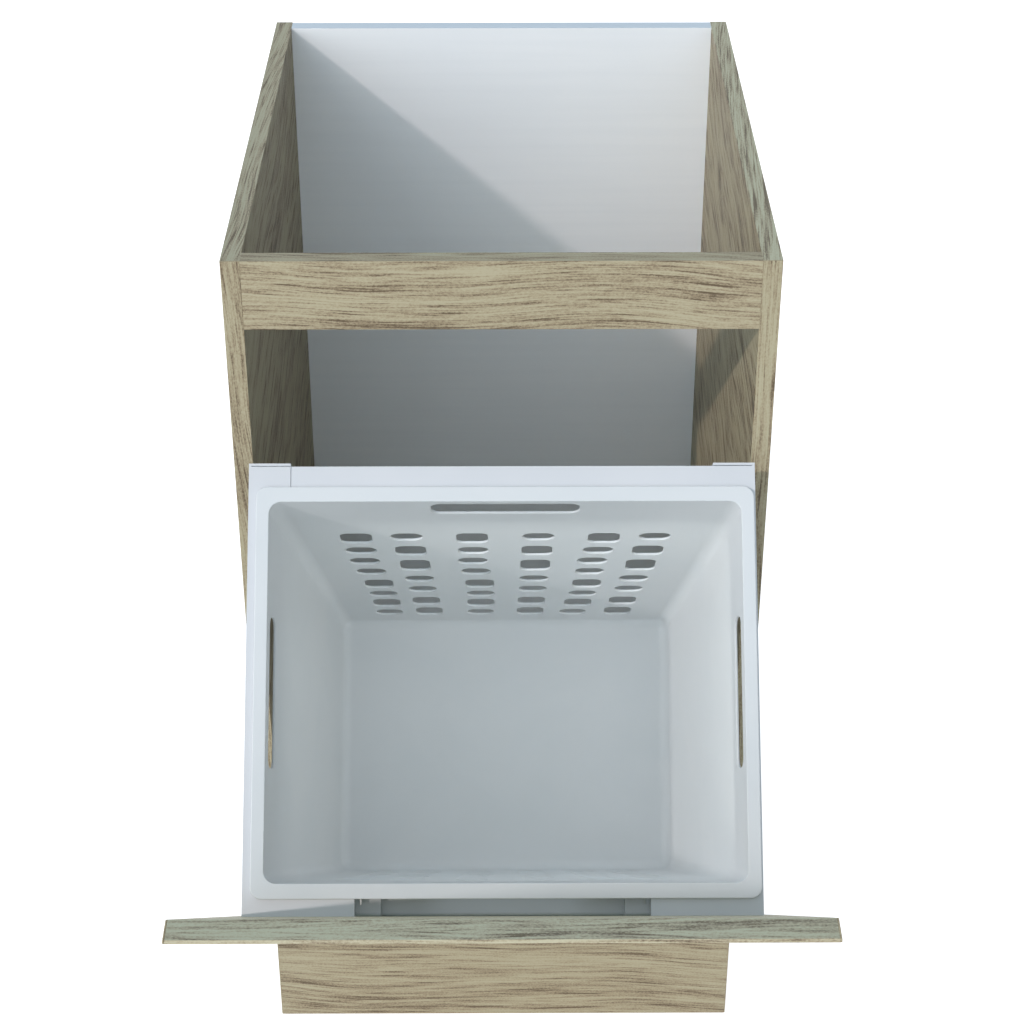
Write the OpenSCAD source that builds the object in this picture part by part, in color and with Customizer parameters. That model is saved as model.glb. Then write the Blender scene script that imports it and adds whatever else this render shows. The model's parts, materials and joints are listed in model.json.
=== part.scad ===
// Kitchen base unit with a tilt-out front that carries a lift-out laundry basket.
// Shown with the front tilted out to its stop. +X is right, +Y is back, +Z is up.

/* [Cabinet] */
// Overall width over both side panels
unit_w = 450; // [400:5:600]
// Height from the floor to the top edge of the side panels
total_h = 870; // [840:5:960]
// Depth of the side panels, front edge band included
side_depth = 552; // [500:2:600]
// Thickness of every cabinet board
board_t = 16; // [15:0.5:19]
// Height of the front rail
rail_h = 61; // [50:1:90]
// How far the back panel sits in from the back edges of the sides
back_inset = 2; // [0:0.5:10]
// Thickness of the glued edge bands
band_t = 1; // [0.5:0.1:2]

/* [Cabinet fixings] */
// Overall length of a connecting screw
screw_len = 50; // [42:1:60]
// Radius of a connecting screw head
screw_head_r = 5; // [4:0.1:6]
// Height of a connecting screw head
screw_head_h = 3; // [2:0.1:4]
// Radius of a connecting screw in the side panel
screw_neck_r = 3.5; // [3:0.1:4]
// Radius of a connecting screw in the edge of the joined board
screw_core_r = 2.6; // [2:0.1:3]
// Radius of a wooden dowel
dowel_r = 4; // [3:0.5:5]
// Length of a wooden dowel
dowel_len = 28; // [24:1:29]
// Room left round dowels and screws in their holes
fixing_clear = 0.12; // [0.05:0.01:0.2]

/* [Legs and plinth] */
// Height of the cabinet's underside above the floor
leg_h = 188; // [170:1:220]
// Distance of a leg's centre in from the cabinet's outer side
leg_side_inset = 45; // [40:1:80]
// Distance of a rear leg's centre in from the back of the sides
leg_back_inset = 72; // [60:1:120]
// Radius of a leg tube
leg_tube_r = 17; // [15:0.5:20]
// Radius of a leg's screw flange
leg_flange_r = 34; // [30:0.5:38]
// Thickness of a leg's screw flange
leg_flange_t = 4; // [3:0.5:6]
// Wall of the socket that takes the leg tube
socket_wall = 4; // [3:0.5:6]
// Depth of the socket that takes the leg tube
socket_depth = 30; // [20:1:40]
// Radius of the threaded spindle of a foot
spindle_r = 10.9; // [8:0.1:12]
// Radius of a foot's base
foot_r = 26; // [22:0.5:32]
// Height of a foot's base
foot_h = 9; // [7:0.5:12]
// Height of the leg tube's lower end above the floor
tube_lift = 40; // [35:1:50]
// Length of the spindle above the foot's base
spindle_len = 111; // [90:1:120]
// Running clearance between spindle and tube
spindle_clear = 0.3; // [0.2:0.05:0.5]
// How far the plinth board is set back from the cabinet front
plinth_setback = 58; // [40:1:80]
// Thickness of the plinth board
plinth_t = 16; // [12:0.5:19]
// Gap between the plinth board and the floor
plinth_floor_gap = 1; // [0.5:0.5:4]
// Gap between the plinth board and the cabinet's underside
plinth_top_gap = 2; // [1:0.5:6]
// Distance from the back of the plinth to the centre of a front leg
clip_reach = 45; // [40:1:60]
// Wall of the plinth clip
clip_t = 3; // [2:0.5:4]
// Height of the plinth clip
clip_h = 14; // [10:1:20]

/* [Door] */
// Gap between a side of the door and the cabinet's outer side
door_side_gap = 1; // [0.5:0.25:3]
// Thickness of the door
door_t = 16; // [15:0.5:20]
// Gap between the closed door and the cabinet front
door_gap = 1.5; // [1.2:0.1:3]
// Gap between the closed door and the underside of a worktop
door_top_gap = 2; // [1:0.5:10]
// Width of the sloping finger grip along the inner top edge
grip_bevel = 13.5; // [8:0.5:14]
// Angle to which the door tilts out, from closed
open_angle = 48.5; // [40:0.5:52]

/* [Hinges] */
// Distance of a hinge's middle from the middle of the door
hinge_x = 150; // [100:1:160]
// Length of a hinge
hinge_len = 60; // [48:1:80]
// Length of the knuckle in the middle of a hinge
knuckle_len = 20; // [14:1:30]
// Outer radius of the knuckles
knuckle_r = 3.6; // [3:0.1:3.8]
// Radius of a hinge pin
pin_r = 1.5; // [1.2:0.1:2]
// Height of the boards' undersides above the hinge axis
hinge_drop = 4; // [4:0.1:5]
// Thickness of a hinge leaf
leaf_t = 2; // [1.5:0.1:2.5]
// Depth of the leaf under the cabinet, from the hinge axis
leaf_depth = 33; // [28:1:40]
// Depth of the leaf under the door, from the hinge axis
door_leaf_depth = 14; // [12:0.5:15]

/* [Stays] */
// Radius of the curved stay slot about the hinge axis
stay_r = 170; // [150:1:190]
// Half the width of a stay plate's curved band
stay_half = 13; // [10:0.5:16]
// Thickness of a stay plate
stay_t = 2; // [1.5:0.1:3]
// Angle of the stop pin above the horizontal, about the hinge axis
stop_angle = 62; // [60:0.5:66]
// Radius of the stop pin
stop_r = 3; // [2.5:0.1:4]
// Wall of the nylon roller on the stop pin
roller_wall = 0.9; // [0.8:0.1:2]
// Clearance of the roller in the slot
roller_clear = 0.3; // [0.2:0.05:0.5]
// Gap between a side panel and the stay plate
stay_side_gap = 4; // [3:0.5:6]

/* [Carrier frame] */
// Gap between the carrier frame and a side panel
carrier_side_gap = 3; // [2.5:0.25:5]
// Depth of the carrier frame's top plate, from the door
carrier_d = 361; // [330:1:380]
// Height of the carrier frame's top above the hinge axis
carrier_h = 387; // [380:1:420]
// Thickness of the carrier's sheet steel
sheet_t = 2; // [1.5:0.1:2.5]
// Width of the side ledges that the basket rim rests on
ledge_w = 9; // [8:0.5:9.5]
// Width of the bar across the back
back_bar_w = 25; // [18:0.5:27]
// Width of each front flange, along the door
flange_w = 89; // [70:1:100]
// Depth of each front flange, out from the door
flange_d = 20; // [14:0.5:22]
// Height of the plates that are screwed to the door
door_plate_h = 87; // [70:1:110]
// Height of the side webs at the back
web_back_h = 36; // [24:1:50]
// Length of the back tabs, along the back bar
tab_w = 34; // [28:1:40]
// Height of the turned-down ears behind the back tabs
ear_h = 36; // [24:1:50]
// Groove between the top plate and the ears
ear_gap = 0.6; // [0.4:0.1:1]
// Width of the seam between the left tab and the back bar
seam_w = 0.5; // [0.3:0.1:1]
// Depth of the front cross bar below the frame's top
cross_drop = 15; // [10:1:20]

/* [Basket] */
// Gap between the side of the basket rim and the outside of the carrier frame
rim_side_gap = 4; // [3.5:0.25:5]
// Outer depth of the basket rim
rim_d = 330; // [300:1:336]
// Distance from the door to the basket rim
rim_front = 13.5; // [10:0.5:16]
// How far the basket sits to the right in its frame
basket_shift = 2.6; // [0:0.1:3]
// Height of the rim above the carrier frame
rim_h = 4; // [3:0.5:8]
// Width of the rim at the sides
rim_side = 10.5; // [10:0.25:12]
// Width of the rim at the front and back
rim_end = 12.2; // [12:0.1:14]
// Wall thickness of the basket
wall = 1.8; // [1.5:0.1:2.5]
// Depth of the basket inside, from the top of the rim
basket_depth = 348; // [344:1:360]
// How much each side wall leans in, from rim to floor
side_draw = 36.5; // [30:0.5:45]
// How much the front wall leans in, from rim to floor
front_draw = 19.5; // [16:0.5:30]
// How much the back wall leans in, from rim to floor
back_draw = 53.5; // [40:0.5:60]
// Corner radius of the basket inside
basket_r = 10; // [8:0.5:14]
// Outer corner radius of the rim
rim_r = 9; // [6:0.5:14]
// Gap under the rim, over the carrier frame
rim_seat_gap = 0.2; // [0.1:0.05:0.3]

/* [Basket openings] */
// Length of a handle slot
handle_w = 122; // [90:1:130]
// Height of a handle slot
handle_h = 24; // [20:0.5:26]
// Distance of a handle slot below the top of the rim
handle_drop = 7; // [6:0.5:10]
// Corner radius of a handle slot
handle_r = 9; // [6:0.5:9.5]
// Width of a vent hole
hole_w = 26.5; // [20:0.5:30]
// Height of a low vent hole
hole_low = 18; // [16:0.5:20]
// Height of a middle vent hole
hole_mid = 22; // [18:0.5:24]
// Height of a tall vent hole
hole_tall = 32; // [26:0.5:34]
// Corner radius of a middle or tall vent hole
hole_r = 5; // [4:0.5:7.5]
// Straight part left between the corners of a low vent hole
hole_low_flat = 1; // [0.5:0.5:6]
// Distance of the first vent hole below the top of the rim
hole_drop = 85; // [60:1:90]
// Distance of the inner vent columns from the middle
hole_x_inner = 28.2; // [24:0.2:30]
// Distance of the middle vent columns from the middle
hole_x_mid = 83.9; // [70:0.2:88]
// Distance of the outer vent columns from the middle
hole_x_outer = 126.9; // [115:0.2:132]
// Solid height between two holes in the columns of eight
bridge_eight = 13; // [10:0.5:13]
// Solid height between two holes in the columns of seven
bridge_seven = 16; // [12:0.5:16]

/* [Hidden] */
$fn = 48;

// Over-length of a cut, so that it breaks through a face
cut = 1;
inner_x = unit_w / 2 - board_t;
door_w = unit_w - 2 * door_side_gap;
carcass_h = total_h - leg_h;
back_front_y = side_depth - back_inset - board_t;

// Hinge axis, and the cabinet front that centres the opened unit on the origin
hinge_z = leg_h - hinge_drop;
door_top = total_h - door_top_gap - hinge_z;
door_reach = door_gap + door_t * cos(open_angle) + door_top * sin(open_angle);
front_y = (door_reach - side_depth) / 2;

// Places of the legs
leg_x = unit_w / 2 - leg_side_inset;
leg_front_y = plinth_setback + plinth_t + clip_reach;
leg_back_y = side_depth - leg_back_inset;
LEG_SPOTS = [[-leg_x, leg_front_y], [leg_x, leg_front_y], [-leg_x, leg_back_y], [leg_x, leg_back_y]];

// Fixing places on the side panels: [distance from the front, height]
rail_mid_z = total_h - rail_h / 2;
rail_fix = rail_h / 4;
bottom_mid_z = leg_h + board_t / 2;
back_mid_y = back_front_y + board_t / 2;
edge_fix = 40;
SCREW_SPOTS = [
    [board_t / 2, rail_mid_z + rail_fix],
    [edge_fix, bottom_mid_z],
    [(leg_front_y + leg_back_y) / 2, bottom_mid_z],
    [leg_back_y, bottom_mid_z],
    [back_mid_y, leg_h + 2 * edge_fix],
    [back_mid_y, leg_h + carcass_h / 2],
    [back_mid_y, total_h - 2 * edge_fix]
];
DOWEL_SPOTS = [
    [board_t / 2, rail_mid_z - rail_fix],
    [leg_front_y, bottom_mid_z],
    [leg_back_y - 2 * edge_fix, bottom_mid_z],
    [back_mid_y, leg_h + carcass_h / 4],
    [back_mid_y, leg_h + carcass_h * 3 / 4]
];
hex_r = screw_head_r / 2;

// Legs
tube_clear = 0.15;
fixing_edge = 1;
socket_r = leg_tube_r + tube_clear + socket_wall;
socket_top = leg_h - leg_flange_t;
tube_top = socket_top;
spindle_room = 20;
tube_bore_top = foot_h + spindle_len + spindle_room;
nut_wall = 4;
nut_r = leg_tube_r + nut_wall;
nut_h = 12;
grip_count = 12;
grip_r = 2;
rib_t = 3;
foot_edge = 2;
foot_neck_wall = 4;
foot_neck_r = spindle_r + foot_neck_wall;
leg_screw_pcd_r = (leg_flange_r + socket_r) / 2 + fixing_edge;
rib_edge = 2;
rib_low = socket_depth * 0.7;

// Small screws: head radius, head height, shank radius, length under the head
small_head_r = 3.3;
small_head_h = 2;
small_shank_r = 1.8;
small_len = 14;
leaf_screw_len = 16;
csk_h = 1.5;
plate_holes = 4;

// Plinth
plinth_top = leg_h - plinth_top_gap;
plinth_back_y = plinth_setback + plinth_t;
clip_z = plinth_top / 2;
clip_ring_r = leg_tube_r + tube_clear + clip_t;
clip_plate_w = 40;
clip_plate_h = 30;
clip_screw_x = 14;
clip_mouth = 24;

// Hinges
pin_clear = 0.1;
hinge_clear = 0.25;
knuckle_gap = 0.3;
leaf_gap = 0.4;
leaf_relief = knuckle_r + leaf_gap;
pin_head_r = 2.6;
pin_head_h = 1.2;
leaf_screw_edge = 9;
leaf_screw_x = hinge_len / 2 - leaf_screw_edge;
leaf_screw_y = (leaf_relief + leaf_depth) / 2;
door_leaf_screw_y = -(leaf_relief + door_leaf_depth) / 2;

// Stays
stay_x = inner_x - stay_side_gap - stay_t;
roller_r = stop_r + pin_clear + roller_wall;
slot_half = roller_r + roller_clear;
slot_low = stop_angle - open_angle;
slot_high = stop_angle;
stay_foot_w = 23;
stay_foot_below = 42;
stay_foot_above = 22;
stay_foot_low = stay_r - stay_half - stay_foot_below;
stay_foot_high = stay_r + stay_half + stay_foot_above;
stay_screw_edge = 12;
stay_root = 14;
stop_y = front_y - door_gap + stay_r * cos(stop_angle);
stop_z = hinge_z + stay_r * sin(stop_angle);
stop_flange_t = 1.5;
stop_seat = 12;
stop_head_r = 7;
stop_head_t = 1.5;
roller_side = 1.5;

// Carrier frame
half_carrier = inner_x - carrier_side_gap;
flange_in = half_carrier - flange_w;
door_plate_low = carrier_h - door_plate_h;
web_step = 62;
ear_out = carrier_d + ear_gap + sheet_t;
seam_x = half_carrier - tab_w;
lap_in = 6;
lap_play = 2;
lap_reach = 22;
stiffener_h = 20;
cross_t = 1.5;
cross_bend = 3;
bend_steps = 6;
cross_end = 20;
cross_step_x = flange_in - cross_end;
cross_step = 8;
cross_plate_h = 34;
slit_edge = 4;
slit_x = flange_in - slit_edge;
slit_w = 1.2;
slit_l = 8;
side_web_h = 19;
carrier_screw_edge = 15;

// Basket
rim_w = 2 * (half_carrier - rim_side_gap);
rim_top = carrier_h + rim_h;
rim_plate_t = 2;
rim_mid_y = rim_front + rim_d / 2;
mouth_half = rim_w / 2 - rim_side;
mouth_front = rim_front + rim_end;
mouth_back = rim_front + rim_d - rim_end;
floor_z = rim_top - basket_depth;
ROWS_EIGHT = [hole_mid, hole_low, hole_low, hole_low, hole_mid, hole_low, hole_mid, hole_low];
ROWS_SEVEN = [hole_low, hole_mid, hole_tall, hole_low, hole_low, hole_mid, hole_mid];
COLUMN_X = [-hole_x_outer, -hole_x_mid, -hole_x_inner, hole_x_inner, hole_x_mid, hole_x_outer];

// Sum of the first n entries of a list
function sum_to(list, n) = n <= 0 ? 0 : list[n - 1] + sum_to(list, n - 1);
// Share of the rim's width that is left at a depth below the rim
function taper(depth) = 1 - side_draw / mouth_half * depth / basket_depth;

// Places its children in the cabinet: Y is measured from the cabinet front
module in_cabinet() {
    translate([0, front_y, 0]) children();
}

// Places its children on the door: Y is measured from its inner face, Z up from the hinge axis
module on_door() {
    translate([0, front_y - door_gap, hinge_z]) rotate([open_angle, 0, 0]) children();
}

module both_sides() {
    children();
    mirror([1, 0, 0]) children();
}

// Extrudes a YZ profile along X, from x = 0
module along_x(length) {
    rotate([90, 0, 90]) linear_extrude(length) children();
}

// Extrudes an XZ profile towards +Y, from y = 0
module along_y(length) {
    translate([0, length, 0]) rotate([90, 0, 0]) linear_extrude(length) children();
}

// Rectangle with round corners, centred
module round_rect(w, h, r) {
    square([w - 2 * r, h], center = true);
    square([w, h - 2 * r], center = true);
    for (x = [-1, 1], y = [-1, 1]) {
        translate([x * (w / 2 - r), y * (h / 2 - r)]) circle(r);
    }
}

// Pan-head screw along +Z, its head's underside at z = 0
module pan_screw(length) {
    translate([0, 0, -small_head_h]) cylinder(r = small_head_r, h = small_head_h);
    cylinder(r = small_shank_r, h = length);
}

module pan_screw_hole(length) {
    translate([0, 0, -cut]) cylinder(r = small_shank_r + fixing_clear, h = length + 2 * cut);
}

// Flat-head screw along +Z, its head's face at z = 0
module flat_screw(length) {
    cylinder(r1 = small_head_r, r2 = small_shank_r, h = csk_h);
    cylinder(r = small_shank_r, h = length);
}

module flat_screw_hole(length) {
    cylinder(r1 = small_head_r + fixing_clear, r2 = small_shank_r + fixing_clear, h = csk_h);
    translate([0, 0, -cut]) cylinder(r = small_shank_r + fixing_clear, h = length + cut);
}

// Connecting screw, pointing inwards from the right side panel's outer face
module cabinet_screw() {
    rotate([0, -90, 0]) difference() {
        union() {
            cylinder(r = screw_head_r, h = screw_head_h);
            cylinder(r = screw_neck_r, h = board_t);
            cylinder(r = screw_core_r, h = screw_len);
        }
        translate([0, 0, -cut]) cylinder(r = hex_r, h = screw_head_h + cut, $fn = 6);
    }
}

module cabinet_screw_hole() {
    rotate([0, -90, 0]) {
        translate([0, 0, -cut]) cylinder(r = screw_head_r + fixing_clear, h = screw_head_h + cut);
        cylinder(r = screw_neck_r + fixing_clear, h = board_t);
        cylinder(r = screw_core_r + fixing_clear, h = screw_len + cut);
    }
}

module at_screws() {
    for (spot = SCREW_SPOTS) translate([unit_w / 2, spot[0], spot[1]]) children();
}

module at_dowels() {
    for (spot = DOWEL_SPOTS) translate([inner_x - dowel_len / 2, spot[0], spot[1]]) children();
}

module dowel_hole() {
    translate([-fixing_clear, 0, 0]) rotate([0, 90, 0])
        cylinder(r = dowel_r + fixing_clear, h = dowel_len + 2 * fixing_clear);
}

// Every hole that joins the boards on both sides
module joining_holes() {
    both_sides() {
        at_screws() cabinet_screw_hole();
        at_dowels() dowel_hole();
    }
}

module side_board() {
    in_cabinet() difference() {
        translate([inner_x, band_t, leg_h]) cube([board_t, side_depth - band_t, carcass_h]);
        at_screws() cabinet_screw_hole();
        at_dowels() dowel_hole();
        translate([inner_x - cut, stop_y - front_y, stop_z]) rotate([0, 90, 0])
            cylinder(r = stop_r + fixing_clear, h = stop_seat + cut + fixing_clear);
    }
}

module side_panel_left() {
    color("tan") mirror([1, 0, 0]) side_board();
}

module side_panel_right() {
    color("tan") side_board();
}

module side_edge_bands() {
    color("burlywood") in_cabinet() both_sides()
        translate([inner_x, 0, leg_h]) cube([board_t, band_t, carcass_h]);
}

module at_legs() {
    for (spot = LEG_SPOTS) translate([spot[0], spot[1], 0]) children();
}

module at_leg_screws() {
    at_legs() for (i = [0 : plate_holes - 1]) rotate([0, 0, 45 + i * 360 / plate_holes])
        translate([leg_screw_pcd_r, 0, socket_top]) children();
}

// Screw places of one hinge, under the cabinet
module at_cabinet_leaf_screws() {
    for (side = [-1, 1], x = [-leaf_screw_x, 0, leaf_screw_x])
        translate([side * hinge_x + x, leaf_screw_y - door_gap, leg_h - leaf_t]) children();
}

module bottom_panel() {
    color("white") in_cabinet() difference() {
        translate([-inner_x, 0, leg_h]) cube([2 * inner_x, back_front_y, board_t]);
        joining_holes();
        at_leg_screws() pan_screw_hole(small_len);
        at_cabinet_leaf_screws() flat_screw_hole(small_len);
    }
}

module back_panel() {
    color("white") in_cabinet() difference() {
        translate([-inner_x, back_front_y, leg_h]) cube([2 * inner_x, board_t, carcass_h]);
        joining_holes();
    }
}

module front_rail() {
    color("tan") in_cabinet() difference() {
        translate([-inner_x, 0, total_h - rail_h]) cube([2 * inner_x, board_t, rail_h]);
        joining_holes();
    }
}

module cabinet_screws() {
    color("silver") in_cabinet() both_sides() at_screws() cabinet_screw();
}

module cabinet_dowels() {
    color("peru") in_cabinet() both_sides() at_dowels() rotate([0, 90, 0])
        cylinder(r = dowel_r, h = dowel_len);
}

// Flange, ribbed collar and bore of one leg socket
module leg_socket() {
    difference() {
        union() {
            translate([0, 0, socket_top]) cylinder(r = leg_flange_r, h = leg_flange_t);
            translate([0, 0, socket_top - socket_depth]) cylinder(r = socket_r, h = socket_depth);
            for (i = [0 : plate_holes - 1]) rotate([0, 0, i * 360 / plate_holes])
                translate([0, -rib_t / 2, socket_top]) along_y(rib_t)
                    polygon([[0, 0], [leg_flange_r - rib_edge, 0], [socket_r, -rib_low], [0, -rib_low]]);
        }
        translate([0, 0, socket_top - socket_depth - cut])
            cylinder(r = leg_tube_r + tube_clear, h = socket_depth + cut);
    }
}

module leg_sockets() {
    color("dimgray") in_cabinet() difference() {
        at_legs() leg_socket();
        at_leg_screws() pan_screw_hole(small_len);
    }
}

// Tube of one leg, with its grip ring and the bore for the spindle
module leg_tube() {
    difference() {
        union() {
            translate([0, 0, tube_lift]) cylinder(r = leg_tube_r, h = tube_top - tube_lift);
            translate([0, 0, tube_lift]) cylinder(r = nut_r, h = nut_h);
        }
        translate([0, 0, tube_lift - cut])
            cylinder(r = spindle_r + spindle_clear, h = tube_bore_top - tube_lift + cut);
        for (i = [0 : grip_count - 1]) rotate([0, 0, i * 360 / grip_count])
            translate([nut_r + grip_r / 2, 0, tube_lift - cut]) cylinder(r = grip_r, h = nut_h + 2 * cut);
    }
}

module leg_tubes() {
    color("dimgray") in_cabinet() at_legs() leg_tube();
}

module leg_screws() {
    color("silver") in_cabinet() at_leg_screws() pan_screw(small_len);
}

// Foot with its spindle, at leg number i
module foot(i) {
    color("black") in_cabinet() translate([LEG_SPOTS[i][0], LEG_SPOTS[i][1], 0]) rotate_extrude()
        polygon([[0, 0], [foot_r - foot_edge, 0], [foot_r, foot_edge], [foot_r, foot_h - 2 * foot_edge],
            [foot_neck_r, foot_h], [spindle_r, foot_h + foot_edge], [spindle_r, foot_h + spindle_len],
            [0, foot_h + spindle_len]]);
}

module at_clip_screws() {
    both_sides() for (x = [-clip_screw_x, clip_screw_x])
        translate([leg_x + x, plinth_back_y + clip_t, clip_z]) rotate([90, 0, 0]) children();
}

module plinth_board() {
    color("tan") in_cabinet() difference() {
        translate([band_t - unit_w / 2, plinth_setback, plinth_floor_gap])
            cube([unit_w - 2 * band_t, plinth_t, plinth_top - plinth_floor_gap]);
        at_clip_screws() pan_screw_hole(small_len);
    }
}

module plinth_edge_bands() {
    color("burlywood") in_cabinet() both_sides()
        translate([unit_w / 2 - band_t, plinth_setback, plinth_floor_gap])
            cube([band_t, plinth_t, plinth_top - plinth_floor_gap]);
}

// Clip that snaps round a front leg, with its plate on the plinth's back
module plinth_clip() {
    translate([leg_x, leg_front_y, clip_z - clip_h / 2]) difference() {
        cylinder(r = clip_ring_r, h = clip_h);
        translate([0, 0, -cut]) cylinder(r = leg_tube_r + tube_clear, h = clip_h + 2 * cut);
        translate([-clip_mouth / 2, 0, -cut]) cube([clip_mouth, clip_ring_r + cut, clip_h + 2 * cut]);
    }
    translate([leg_x - clip_plate_w / 2, plinth_back_y, clip_z - clip_plate_h / 2])
        cube([clip_plate_w, clip_t, clip_plate_h]);
    for (x = [-1, 1]) translate([leg_x + x * clip_t * 1.5 - clip_t / 2, plinth_back_y, clip_z - clip_h / 2])
        cube([clip_t, clip_reach - leg_tube_r - tube_clear - clip_t / 4, clip_h]);
}

module plinth_clips() {
    color("dimgray") in_cabinet() difference() {
        both_sides() plinth_clip();
        at_clip_screws() pan_screw_hole(small_len);
    }
}

module clip_screws() {
    color("silver") in_cabinet() at_clip_screws() pan_screw(small_len);
}

module at_hinges() {
    for (side = [-1, 1]) translate([side * hinge_x, 0, 0]) children();
}

// Knuckle along X, centred on x, with its bore about the hinge axis
module knuckle(x, length, bore_r) {
    translate([x - length / 2, 0, 0]) rotate([0, 90, 0]) difference() {
        cylinder(r = knuckle_r, h = length);
        translate([0, 0, -cut]) cylinder(r = bore_r, h = length + 2 * cut);
    }
}

outer_knuckle = (hinge_len - knuckle_len) / 2 - knuckle_gap;
outer_knuckle_x = (hinge_len - outer_knuckle) / 2;

// Leaf screwed under the cabinet, with the outer two knuckles
module hinge_leaf_cabinet() {
    translate([-hinge_len / 2, leaf_relief, hinge_drop - leaf_t])
        cube([hinge_len, leaf_depth - leaf_relief, leaf_t]);
    for (side = [-1, 1]) {
        knuckle(side * outer_knuckle_x, outer_knuckle, pin_r + pin_clear / 2);
        translate([side * outer_knuckle_x - outer_knuckle / 2, 0, hinge_drop - leaf_t])
            cube([outer_knuckle, leaf_relief + cut, leaf_t]);
    }
}

module hinge_leaves_cabinet() {
    color("silver") in_cabinet() difference() {
        translate([0, -door_gap, hinge_z]) at_hinges() hinge_leaf_cabinet();
        at_cabinet_leaf_screws() flat_screw_hole(small_len);
    }
}

module at_door_leaf_screws() {
    at_hinges() for (x = [-leaf_screw_x, 0, leaf_screw_x])
        translate([x, door_leaf_screw_y, hinge_drop - leaf_t]) children();
}

// Leaf screwed under the door, with the middle knuckle
module hinge_leaf_door() {
    translate([-hinge_len / 2, -door_leaf_depth, hinge_drop - leaf_t])
        cube([hinge_len, door_leaf_depth - leaf_relief, leaf_t]);
    knuckle(0, knuckle_len, pin_r + hinge_clear);
    translate([-knuckle_len / 2, -leaf_relief - cut, hinge_drop - leaf_t])
        cube([knuckle_len, leaf_relief + cut, leaf_t]);
}

module hinge_leaves_door() {
    color("silver") on_door() difference() {
        at_hinges() hinge_leaf_door();
        at_door_leaf_screws() flat_screw_hole(leaf_screw_len);
    }
}

module hinge_pins() {
    color("gray") translate([0, front_y - door_gap, hinge_z]) at_hinges() rotate([0, 90, 0]) {
        translate([0, 0, -hinge_len / 2 - knuckle_gap])
            cylinder(r = pin_r, h = hinge_len + 2 * knuckle_gap);
        for (z = [-hinge_len / 2 - knuckle_gap - pin_head_h, hinge_len / 2 + knuckle_gap])
            translate([0, 0, z]) cylinder(r = pin_head_r, h = pin_head_h);
    }
}

module hinge_screws_cabinet() {
    color("silver") in_cabinet() at_cabinet_leaf_screws() flat_screw(small_len);
}

module hinge_screws_door() {
    color("silver") on_door() at_door_leaf_screws() flat_screw(leaf_screw_len);
}

// Pin in the right side panel that the stay plate's slot runs on
module stop_pin() {
    translate([0, stop_y, stop_z]) rotate([0, 90, 0]) {
        translate([0, 0, stay_x - roller_side - stop_head_t])
            cylinder(r = stop_r, h = inner_x + stop_seat - stay_x + roller_side + stop_head_t);
        translate([0, 0, inner_x - stop_flange_t]) cylinder(r = stop_head_r, h = stop_flange_t);
        translate([0, 0, stay_x - roller_side - stop_head_t]) cylinder(r = stop_head_r, h = stop_head_t);
    }
}

module stop_pins() {
    color("silver") both_sides() stop_pin();
}

roller_x = stay_x - roller_side + fixing_clear;
roller_len = inner_x - stop_flange_t - fixing_clear - roller_x;

module stop_rollers() {
    color("ivory") both_sides() translate([roller_x, stop_y, stop_z]) rotate([0, 90, 0]) difference() {
        cylinder(r = roller_r, h = roller_len);
        translate([0, 0, -cut]) cylinder(r = stop_r + pin_clear, h = roller_len + 2 * cut);
    }
}

// Curved band about the hinge axis from one angle to another, with round ends
module arc_band(half_w, low, high) {
    far = 2 * stay_r;
    mid = (low + high) / 2;
    intersection() {
        difference() {
            circle(stay_r + half_w, $fn = 96);
            circle(stay_r - half_w, $fn = 96);
        }
        polygon([[0, 0], [far * cos(low), far * sin(low)], [far * cos(mid), far * sin(mid)],
            [far * cos(high), far * sin(high)]]);
    }
    for (a = [low, high]) translate([stay_r * cos(a), stay_r * sin(a)]) circle(half_w);
}

// Plate on the door whose curved slot ends the door's travel
module stay_plate() {
    translate([stay_x, 0, 0]) along_x(stay_t) difference() {
        union() {
            arc_band(stay_half, slot_low, 90 - asin(stay_half / stay_r));
            translate([0, stay_foot_low]) square([stay_root, stay_foot_high - stay_foot_low]);
        }
        arc_band(slot_half, slot_low, slot_high);
    }
    translate([stay_x - stay_foot_w, 0, stay_foot_low])
        cube([stay_foot_w + stay_t, stay_t, stay_foot_high - stay_foot_low]);
}

module at_stay_screws() {
    both_sides() for (z = [stay_foot_low + stay_screw_edge, stay_r, stay_foot_high - stay_screw_edge])
        translate([stay_x - stay_foot_w / 2, stay_t, z]) rotate([90, 0, 0]) children();
}

module stay_plate_right() {
    color("silver") on_door() difference() {
        stay_plate();
        at_stay_screws() pan_screw_hole(small_len);
    }
}

module stay_plate_left() {
    color("silver") on_door() difference() {
        mirror([1, 0, 0]) stay_plate();
        at_stay_screws() pan_screw_hole(small_len);
    }
}

module stay_screws() {
    color("silver") on_door() at_stay_screws() pan_screw(small_len);
}

// Section of the door, with the sloping grip along its inner top edge
module door_section() {
    polygon([[0, hinge_drop], [0, door_top - grip_bevel], [-grip_bevel, door_top], [-door_t, door_top],
        [-door_t, hinge_drop]]);
}

module at_carrier_screws() {
    both_sides() for (x = [flange_in + carrier_screw_edge, half_carrier - carrier_screw_edge],
            z = [0, door_plate_h / 2])
        translate([x, sheet_t, door_plate_low + carrier_screw_edge + z]) rotate([90, 0, 0]) children();
}

module at_cross_screws() {
    z = carrier_h - cross_drop - cross_step - cross_plate_h / 2;
    both_sides() translate([flange_in / 2, cross_t, z]) rotate([90, 0, 0]) children();
}

module door_panel() {
    color("tan") on_door() difference() {
        translate([band_t - door_w / 2, 0, 0]) along_x(door_w - 2 * band_t) door_section();
        at_door_leaf_screws() flat_screw_hole(leaf_screw_len);
        at_stay_screws() pan_screw_hole(small_len);
        at_carrier_screws() pan_screw_hole(small_len);
        at_cross_screws() pan_screw_hole(small_len);
    }
}

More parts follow.
